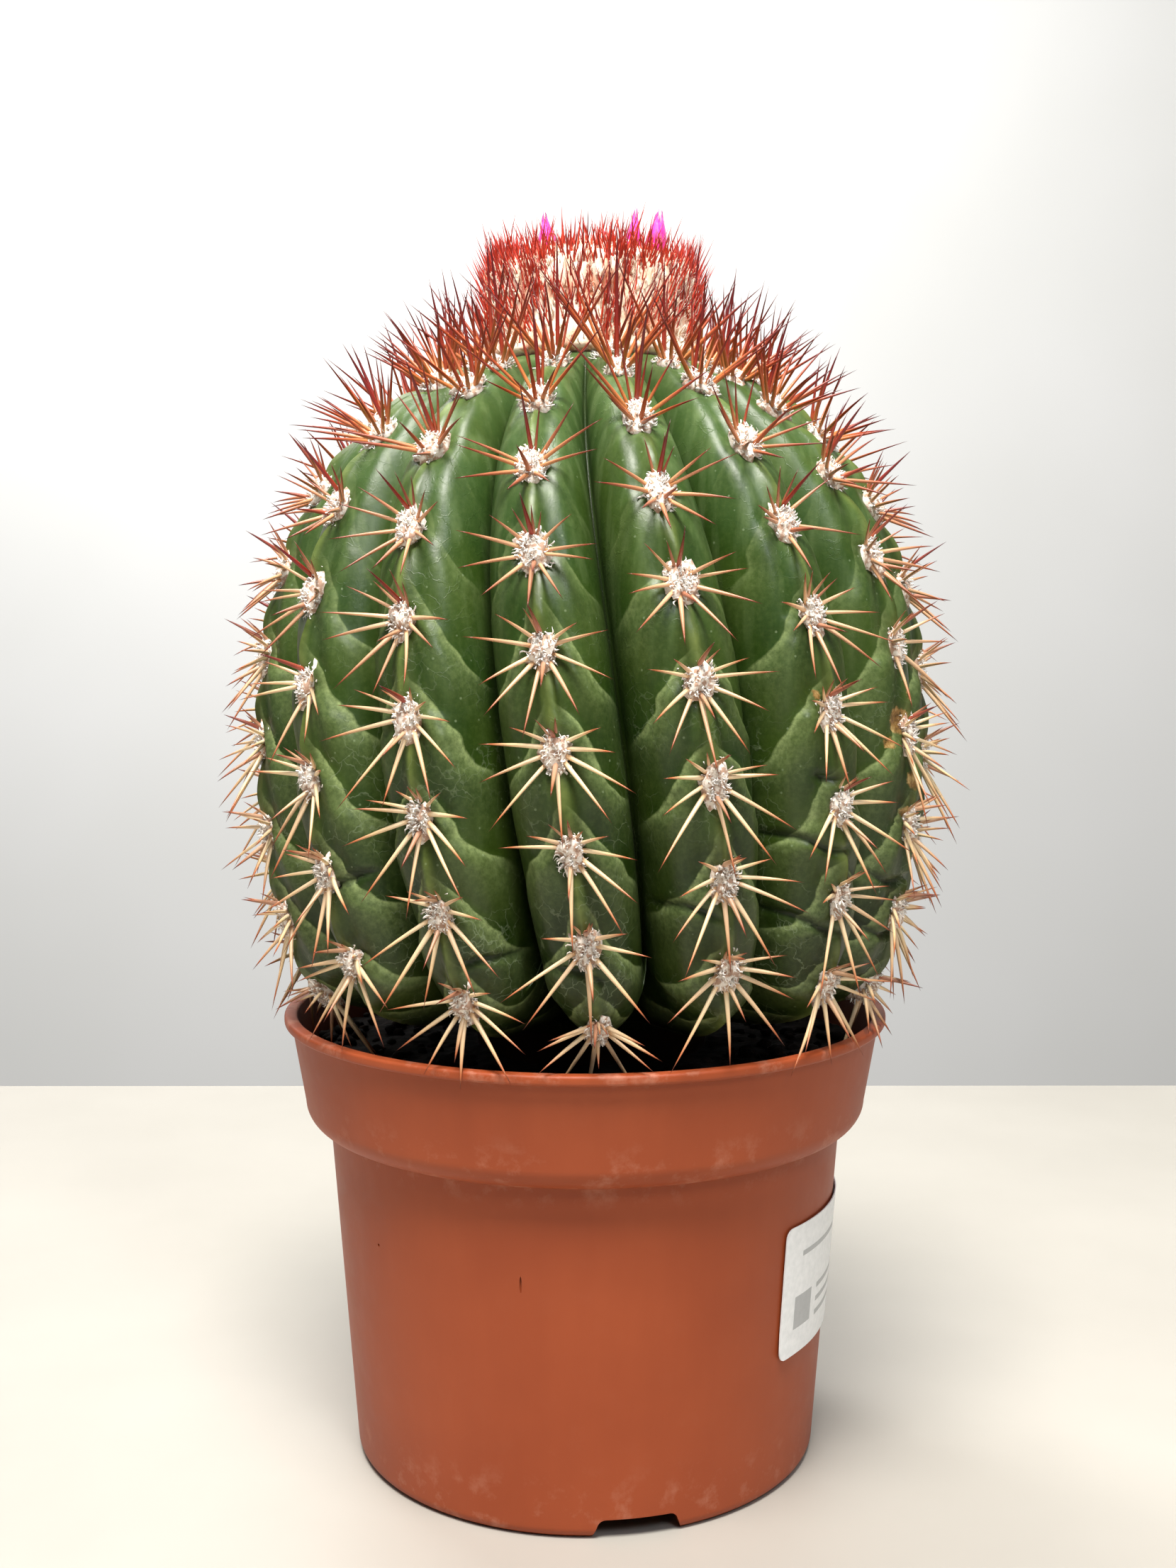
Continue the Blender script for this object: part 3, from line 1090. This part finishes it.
def on_cap(draw, top):
    """A place on the cap, its outward direction and its height share."""
    bearing = draw.uniform(0, 360)
    if top:
        radius = math.sqrt(draw.random()) * (CAP_WIDE - 1.5 * MM)
        rise = max(0.0, radius - (CAP_WIDE - CAP_SHOULDER))
        height = CAP_TOP - 0.8 * MM - (CAP_SHOULDER - math.sqrt(max(CAP_SHOULDER ** 2 - rise ** 2, 0)))
        lean = 0.1 + 0.75 * (radius / CAP_WIDE) ** 3
        outward = around(bearing, lean, 1.0).normalized()
        return around(bearing, radius, height, STEM_X), outward, 1.0
    share = draw.random() ** 0.8
    height = CAP_BOTTOM + 0.8 * MM + share * (CAP_TOP - CAP_BOTTOM - 4.5 * MM)
    over = max(0.0, height - (CAP_TOP - CAP_SHOULDER))
    inward = CAP_SHOULDER - math.sqrt(max(CAP_SHOULDER ** 2 - over ** 2, 0))
    outward = around(bearing, 1.0, 0.1 + over / CAP_SHOULDER * 0.8).normalized()
    flare = CAP_FLARE * (1 - share) ** 3
    return around(bearing, CAP_WIDE + flare - inward - 0.4 * MM, height, STEM_X), outward, share


draw = random.Random(5)
curls = []
for index in range(WOOL_CURLS):
    start, outward, share = on_cap(draw, index % 4 == 0)
    swirl = Vector([draw.gauss(0, 1) for _ in range(3)]).normalized()
    grow = (outward * 0.55 + Vector((0, 0, 0.75)) + swirl * 0.35).normalized()
    length = draw.uniform(1.8, 3.8) * MM
    curls.append([
        tuple(start + (grow * s * 0.8 + swirl * math.sin(s * 4) * 0.22) * length)
        for s in (0, 0.25, 0.5, 0.75, 1.0)
    ])
taper = np.array([1.0, 1.0, 0.9, 0.7, 0.0]) * WOOL_RADIUS
hairs = tubes(np.array(curls), np.tile(taper, (WOOL_CURLS, 1)), 3, {})
# Plant wool, grown in dense upright tufts: cream and matt with a soft edge, and rusty where it
# is packed deep between the bristles.
wool, shader = finish_of("matted_cephalium_wool", 0.95, sheen=0.2)
place = add(wool, "TexCoord").outputs["Object"]
tall = add(wool, "Mapping", {"Vector": place, "Scale": (1.0, 1.0, 0.4)})
clumps = add(wool, "TexNoise", {"Vector": tall.outputs[0], "Scale": per(WOOL_CLUMP), "Detail": 5.0})
wool_tint = add(
    wool, "ValToRGB", {"Fac": clumps.outputs["Fac"]},
    stops=((0.28, "#C27A58"), (0.42, "#E9C3A4"), (0.55, "#F7E8D2"), (0.75, "#FDF6EA")),
)
wool.node_tree.links.new(wool_tint.outputs[0], shader.inputs["Base Color"])
wool_bump = add(
    wool, "Bump", {"Height": clumps.outputs["Fac"], "Strength": 0.7, "Distance": 0.5 * MM},
)
wool.node_tree.links.new(wool_bump.outputs[0], shader.inputs["Normal"])
points, faces, marks = joined([(woolly, cap_faces, {}), hairs])
piece("cephalium_wool", points, faces, wool, "cephalium_wool", ["cephalium"])

buds = [
    sum((vert.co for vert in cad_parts[node].data.vertices), Vector())
    / len(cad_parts[node].data.vertices)
    for node in ("flower_1", "flower_2", "flower_3", "flower_4")
]
for bud in buds:
    bud.z = CAP_TOP - 1 * MM
paths, radii, tones = [], [], []
for index in range(SIDE_BRISTLES + TOP_BRISTLES):
    on_top = index >= SIDE_BRISTLES
    start, outward, share = on_cap(draw, on_top)
    sway = Vector([draw.gauss(0, 1) for _ in range(3)]).normalized()
    spread = 0.45 if on_top else 0.14
    direction = (outward * spread + Vector((0, 0, 0.9)) + sway * 0.36).normalized()
    to_bud = min((start - bud).xy.length for bud in buds)
    if to_bud < BUD_CLEAR:
        continue
    highest = CAP_TOP + draw.triangular(1.0, 8.5, 2.5) * min(to_bud / BUD_SHADOW, 1.0) * MM
    longest = max((highest - start.z) / max(direction.z, 0.3), 3 * MM)
    length = min(draw.uniform(6.5, 13.0) * MM, longest)
    root = start - outward * 0.8 * MM
    paths.append(spine_path(root, direction, Vector((0, 0, 0.12)) + sway * 0.05, length, 5))
    radii.append(np.array([1.0, 0.92, 0.75, 0.48, 0.0]) * draw.uniform(*BRISTLE_RADII) * MM)
    tones.append(draw.random())
# Fine stiff bristles, the cap's own spines: glossy and bright red, darker towards the point.
bristle, shader = finish_of("red_bristle", 0.4)
along = add(bristle, "Attribute", attribute_name="along").outputs["Fac"]
vary = add(bristle, "Attribute", attribute_name="vary").outputs["Fac"]
bright = add(
    bristle, "ValToRGB", {"Fac": along},
    stops=((0.0, "#F08A62"), (0.3, "#E24E2C"), (0.75, "#C8331F"), (1.0, "#861A14")),
)
deep = add(
    bristle, "ValToRGB", {"Fac": along}, stops=((0.0, "#C84E30"), (0.5, "#A02A1A"), (1.0, "#581010")),
)
bristle_tint = add(
    bristle, "Mix", {0: vary, 6: bright.outputs[0], 7: deep.outputs[0]}, data_type="RGBA",
)
bristle.node_tree.links.new(bristle_tint.outputs[2], shader.inputs["Base Color"])
points, faces, marks = tubes(
    np.array(paths), np.array(radii), BRISTLE_SIDES,
    {"along": np.linspace(0, 1, 5)[None, :], "vary": np.array(tones)[:, None]},
)
piece("cephalium_bristles", points, faces, bristle, "cephalium_wool", marks=marks)

# ---------------------------------------------------------------- flowers
# Closed magenta buds of overlapping tepals, pushed up through the wool, and the brown
# shrivelled remains of earlier ones.

TEPAL_THICK = 0.16 * MM
BUD_RADIUS = 1.95 * MM
TEPAL_SPREAD = 0.85           # radians to each side
VEIN = 0.9 * MM
CREASE = 1 * MM
DRY_STRANDS = 9
# Each bud: its width and how open its tip is, and how far it stands past its solid.
BUDS = (
    ("flower_1", 1.0, 0.15, 4.5 * MM), ("flower_2", 0.75, 0.0, 3.0 * MM),
    ("flower_3", 0.9, 0.1, 6.5 * MM), ("flower_4", 1.12, 0.4, 4.5 * MM),
)
TEPAL_RINGS = ((5, 1.0), (5, 0.82), (3, 0.6))     # tepals and share of the radius


def stalk_of(node):
    """Foot and tip of a flower, from its CAD node."""
    points = [vert.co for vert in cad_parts[node].data.vertices]
    lowest = min(point.z for point in points)
    foot = [point for point in points if point.z < lowest + 1 * MM]
    return sum(foot, Vector()) / len(foot), max(points, key=lambda point: point.z)


def upright(foot, tip):
    """A frame whose third axis runs from foot to tip."""
    axis = (tip - foot).normalized()
    first = axis.cross(Vector((0, 1, 0))).normalized()
    return first, axis.cross(first), axis


def tepal(foot, axes, length, radius, bearing, spread, flare):
    """One pointed tepal wrapped round the bud: points and faces of a thin closed leaf."""
    first, second, third = axes
    layers = []
    for layer in (0.0, -TEPAL_THICK):
        for row in range(13):
            share = row / 12
            belly = math.sin(math.pi * min(share * 0.95 + 0.08, 1)) ** 0.8
            bulge = radius * (0.55 + 0.55 * belly)
            bulge *= 1 - 0.72 * eased(share, 0.62, 1.0) * (1 - flare)
            width = spread * math.sin(math.pi * (0.16 + 0.84 * share)) ** 0.7
            for column in range(9):
                away = (column / 4 - 1)
                angle = bearing + away * width
                reach = bulge + layer + 0.25 * MM * abs(away) ** 2 * share
                layers.append(
                    foot + (first * math.cos(angle) + second * math.sin(angle)) * reach
                    + third * length * (share - 0.03 * away * away)
                )
    grid = np.arange(117).reshape(13, 9)
    front = np.stack([grid[:-1, :-1], grid[:-1, 1:], grid[1:, 1:], grid[1:, :-1]], axis=-1)
    front = front.reshape(-1, 4)
    faces = front.tolist() + (front[:, ::-1] + 117).tolist()
    rim = [*grid[0, :-1], *grid[:-1, -1], *grid[-1, :0:-1], *grid[:0:-1, 0]]
    for a, b in zip(rim, rim[1:] + rim[:1]):
        faces.append((int(b), int(a), int(a) + 117, int(b) + 117))
    return layers, faces


# Living petal tissue, thin and full of water: a vivid magenta with a satin sheen, deeper at the
# foot and paler at the tip, with faint veins.
petal, shader = finish_of("satin_tepal", 0.45, sheen=0.2)
reach = add(petal, "Attribute", attribute_name="reach").outputs["Fac"]
place = add(petal, "TexCoord").outputs["Object"]
vein = add(petal, "TexNoise", {"Vector": place, "Scale": per(VEIN)})
veined = add(petal, "MapRange", {"Value": vein.outputs["Fac"], "To Min": -0.2, "To Max": 0.2})
petal_place = add(petal, "Math", {0: reach, 1: veined.outputs[0]}, operation="ADD")
petal_tint = add(
    petal, "ValToRGB", {"Fac": petal_place.outputs[0]},
    stops=((0.2, "#A60C5E"), (0.6, "#E8189A"), (0.85, "#FF3CC0"), (1.0, "#FF7AD8")),
)
petal.node_tree.links.new(petal_tint.outputs[0], shader.inputs["Base Color"])
for node, wide, open_tip, proud in BUDS:
    foot, tip = stalk_of(node)
    axes = upright(foot, tip)
    length = (tip - foot).length + proud
    parts = []
    for ring, (count, share) in enumerate(TEPAL_RINGS):
        for index in range(count):
            bearing = math.tau * (index + ring * 0.5) / count
            points, faces = tepal(
                foot, axes, length * (1 - 0.05 * ring + 0.02 * index), BUD_RADIUS * wide * share,
                bearing, TEPAL_SPREAD, open_tip,
            )
            height = [(point - foot).dot(axes[2]) / length for point in points]
            parts.append((points, faces, {"reach": np.array(height)}))
    points, faces, marks = joined(parts)
    piece(f"{node}_bud", points, faces, petal, "magenta_petal", [node], marks=marks)

# Dried petal tissue, shrunk to creased brown paper: dull, dark red-brown in its folds.
dry, shader = finish_of("withered_tepal", 0.8)
place = add(dry, "TexCoord").outputs["Object"]
creases = add(dry, "TexNoise", {"Vector": place, "Scale": per(CREASE), "Detail": 5.0})
dry_tint = add(
    dry, "ValToRGB", {"Fac": creases.outputs["Fac"]},
    stops=((0.3, "#2A0E0C"), (0.55, "#6B1F1A"), (0.75, "#93402A")),
)
dry.node_tree.links.new(dry_tint.outputs[0], shader.inputs["Base Color"])
for node in ("dried_flower_1", "dried_flower_2"):
    foot, tip = stalk_of(node)
    axes = upright(foot, tip)
    length = (tip - foot).length
    draw = random.Random(node)
    paths = []
    for index in range(DRY_STRANDS):
        angle = index * 2.4
        away = axes[0] * math.cos(angle) + axes[1] * math.sin(angle)
        twist = axes[2].cross(away)
        lean = draw.uniform(0.05, 0.22)
        paths.append([
            tuple(foot + away * (0.55 + lean * s * s * 2) * MM + twist * math.sin(s * 3) * 0.5 * MM
                  + axes[2] * length * s * draw.uniform(0.9, 1.0))
            for s in (0, 0.2, 0.4, 0.6, 0.8, 0.92, 1.0)
        ])
    radii = np.tile(np.array([0.5, 0.62, 0.6, 0.55, 0.5, 0.34, 0.0]) * MM, (DRY_STRANDS, 1))
    points, faces, marks = tubes(np.array(paths), radii, 6, {})
    piece(f"{node}_remains", points, faces, dry, "withered_flower", [node])

# ---------------------------------------------------------------- label
# A die-cut paper sticker with rounded corners, stuck round the wall by its own adhesive, with
# one corner lifting. It carries plain grey bars only.

LABEL_WIDTH = 50 * MM
LABEL_HEIGHT = 30 * MM
LABEL_CORNER = 2.2 * MM
LABEL_BEARING = 72.5
LABEL_MIDDLE = 46.5 * MM
LABEL_THICK = 0.25 * MM
LABEL_OFF_WALL = 0.45 * MM
CORNER_LIFT = 0.25 * MM
PAPER_FIBRE = 1.5 * MM        # coarser than real fibres, so that the sheet isn't flat white
INK_SHARE = 0.6
# Left, right, low and high edges of each bar, in mm from the sheet's middle.
BARS = (
    (-18, 4, 7.4, 8.6), (-20, -12, -9, -1.5), (-9, 12, -2.8, -1.6), (-9, 9, -6.0, -4.8),
    (-9, 11, -9.2, -8.0),
)

label_sheet = bmesh.new()
bmesh.ops.create_grid(label_sheet, x_segments=60, y_segments=36, size=0.5)
for vert in label_sheet.verts:
    x, y = vert.co.x * LABEL_WIDTH, vert.co.y * LABEL_HEIGHT
    over_x = max(abs(x) - (LABEL_WIDTH / 2 - LABEL_CORNER), 0)
    over_y = max(abs(y) - (LABEL_HEIGHT / 2 - LABEL_CORNER), 0)
    if over_x > 0 and over_y > 0:
        scale = max(over_x, over_y) / math.hypot(over_x, over_y)
        x -= math.copysign(over_x * (1 - scale), x)
        y -= math.copysign(over_y * (1 - scale), y)
    vert.co = Vector((x, y, 0.0))
marks = {"across": [], "up": []}
sheet_points = []
for layer in (LABEL_OFF_WALL + LABEL_THICK, LABEL_OFF_WALL):
    for vert in label_sheet.verts:
        lift = CORNER_LIFT * eased(-vert.co.x - vert.co.y, 32 * MM, 41 * MM)
        radius = wall_radius(LABEL_MIDDLE + vert.co.y) + layer + lift
        bearing = LABEL_BEARING + math.degrees(vert.co.x / wall_radius(LABEL_MIDDLE))
        sheet_points.append(around(bearing, radius, LABEL_MIDDLE + vert.co.y))
        marks["across"].append(vert.co.x)
        marks["up"].append(vert.co.y)
count = len(label_sheet.verts)
label_sheet.verts.index_update()
sheet_faces = []
for face in label_sheet.faces:
    corners = [vert.index for vert in face.verts]
    sheet_faces.append(tuple(corners))
    sheet_faces.append(tuple(corner + count for corner in reversed(corners)))
for edge in label_sheet.edges:
    if len(edge.link_loops) == 1:
        loop = edge.link_loops[0]
        a, b = loop.vert.index, loop.link_loop_next.vert.index
        sheet_faces.append((b, a, a + count, b + count))
label_sheet.free()
# Paper with a smooth thermal coating: cool white, slightly glossy, with pale grey print.
paper, shader = finish_of("coated_label_paper", 0.42)
across_mark = add(paper, "Attribute", attribute_name="across").outputs["Fac"]
up_mark = add(paper, "Attribute", attribute_name="up").outputs["Fac"]
ink = None
for left, right, low_edge, high_edge in BARS:
    within = [
        add(paper, "Math", {0: mark, 1: (start + end) / 2 * MM, 2: (end - start) / 2 * MM},
            operation="COMPARE").outputs[0]
        for mark, start, end in ((across_mark, left, right), (up_mark, low_edge, high_edge))
    ]
    bar = add(paper, "Math", {0: within[0], 1: within[1]}, operation="MULTIPLY")
    if ink is None:
        ink = bar
    else:
        ink = add(paper, "Math", {0: ink.outputs[0], 1: bar.outputs[0]}, operation="MAXIMUM")
place = add(paper, "TexCoord").outputs["Object"]
fibres = add(paper, "TexNoise", {"Vector": place, "Scale": per(PAPER_FIBRE), "Detail": 3.0})
sheet_tint = add(
    paper, "ValToRGB", {"Fac": fibres.outputs["Fac"]}, stops=((0.3, "#E6E8E8"), (0.7, "#F3F4F4")),
)
faint = add(paper, "Math", {0: ink.outputs[0], 1: INK_SHARE}, operation="MULTIPLY")
printed = add(
    paper, "Mix", {0: faint.outputs[0], 6: sheet_tint.outputs[0], 7: linear("#6F7274")}, data_type="RGBA",
)
paper.node_tree.links.new(printed.outputs[2], shader.inputs["Base Color"])
paper_bump = add(
    paper, "Bump", {"Height": fibres.outputs["Fac"], "Strength": 0.1, "Distance": 0.03 * MM},
)
paper.node_tree.links.new(paper_bump.outputs[0], shader.inputs["Normal"])
piece(
    "blank_label", sheet_points, sheet_faces, paper, "label_paper", ["label"],
    marks={m: np.array(v) for m, v in marks.items()}, creased=True,
)

# ---------------------------------------------------------------- table, wall and light
# The plant stands on a matt off-white table top before a pale wall. A broad soft light hangs in
# front and above, with a window to the right, faint fill at both sides and a wash on the wall.

TABLE_BACK = 320 * MM
WALL_AWAY = 1800 * MM
EYE_HEIGHT = 187 * MM
EYE_DISTANCE = 400 * MM
EYE_TILT = 4.6                # degrees below the horizon
EYE_TURN = 0.1                # degrees to the right
LENS = 39.385                 # mm, on the 36 mm of the picture's long side

TABLE_WEAR = 90 * MM
WALL_UNEVENNESS = 300 * MM

# Painted board, sanded flat: off-white and matt, very slightly uneven.
table_top, shader = finish_of("matt_table_top", 0.6)
place = add(table_top, "TexCoord").outputs["Object"]
wear = add(table_top, "TexNoise", {"Vector": place, "Scale": per(TABLE_WEAR), "Detail": 4.0})
top_tint = add(
    table_top, "ValToRGB", {"Fac": wear.outputs["Fac"]}, stops=((0.3, "#ADA9A0"), (0.7, "#B4B0A7")),
)
table_top.node_tree.links.new(top_tint.outputs[0], shader.inputs["Base Color"])
# Emulsion on plaster, rolled on: pale grey-white without any shine.
wall_paint, shader = finish_of("matt_wall_paint", 0.9)
place = add(wall_paint, "TexCoord").outputs["Object"]
unevenness = add(wall_paint, "TexNoise", {"Vector": place, "Scale": per(WALL_UNEVENNESS)})
wall_tint = add(
    wall_paint, "ValToRGB", {"Fac": unevenness.outputs["Fac"]},
    stops=((0.3, "#E6E6E3"), (0.7, "#EAEAE8")),
)
wall_paint.node_tree.links.new(wall_tint.outputs[0], shader.inputs["Base Color"])


def backdrop(name, outline, finish):
    """A wide sheet whose outline (y, z) runs from front to back."""
    mesh = bpy.data.meshes.new(name)
    points = [(x, y, z) for y, z in outline for x in (-2.5, 2.5)]
    faces = [(2 * i, 2 * i + 1, 2 * i + 3, 2 * i + 2) for i in range(len(outline) - 1)]
    mesh.from_pydata(points, [], faces)
    mesh.shade_smooth()
    mesh.materials.append(finish)
    made = bpy.data.objects.new(name, mesh)
    bpy.context.scene.collection.objects.link(made)


table_edge = [(TABLE_BACK - 1 * MM, 0.0), (TABLE_BACK, -1 * MM), (TABLE_BACK, -12 * MM)]
backdrop("table_top", [(-2.0, 0.0), *table_edge], table_top)
backdrop("wall", [(WALL_AWAY, -0.9), (WALL_AWAY, 2.6)], wall_paint)

world = bpy.data.worlds.new("room")
bpy.context.scene.world = world
world.use_nodes = True
world.node_tree.nodes["Background"].inputs["Color"].default_value = linear("#F2F3F3")
world.node_tree.nodes["Background"].inputs["Strength"].default_value = 0.14


def softbox(name, place, aim, width, height, power, colour):
    """A rectangular lamp of this width and height in metres and power in watts."""
    light = bpy.data.lights.new(name, "AREA")
    light.shape = "RECTANGLE"
    light.size = width
    light.size_y = height
    light.energy = power
    light.color = linear(colour)[:3]
    made = bpy.data.objects.new(name, light)
    made.location = place
    made.rotation_euler = (Vector(aim) - Vector(place)).to_track_quat("-Z", "Y").to_euler()
    bpy.context.scene.collection.objects.link(made)


softbox("overhead_front", (-0.05, -0.5, 1.3), (0, 0, 0.1), 0.45, 0.4, 37, "#FFFBF6")
softbox("left_side", (-1.1, -0.15, 0.7), (0, 0, 0.15), 0.8, 0.9, 1.0, "#FAFBFF")
softbox("right_side", (1.15, -0.15, 0.7), (0, 0, 0.15), 0.8, 0.9, 0.8, "#FAFBFF")
softbox("front_window", (0.32, -0.89, 0.93), (0, 0, 0.19), 0.2, 0.3, 4.5, "#F0F6FF")
softbox("wall_wash", (-0.55, 0.9, 1.6), (0.15, 1.8, 0.0), 1.3, 0.6, 36, "#FFFFFF")

lens = bpy.data.cameras.new("camera")
lens.sensor_fit = "AUTO"
lens.sensor_width = 36.0
lens.lens = LENS
lens.clip_start = 0.01
lens.clip_end = 50
camera = bpy.data.objects.new("camera", lens)
camera.location = (0.0, -EYE_DISTANCE, EYE_HEIGHT)
camera.rotation_euler = (math.radians(90 - EYE_TILT), 0.0, math.radians(-EYE_TURN))
bpy.context.scene.collection.objects.link(camera)
bpy.context.scene.camera = camera
bpy.context.scene.view_settings.view_transform = "Standard"
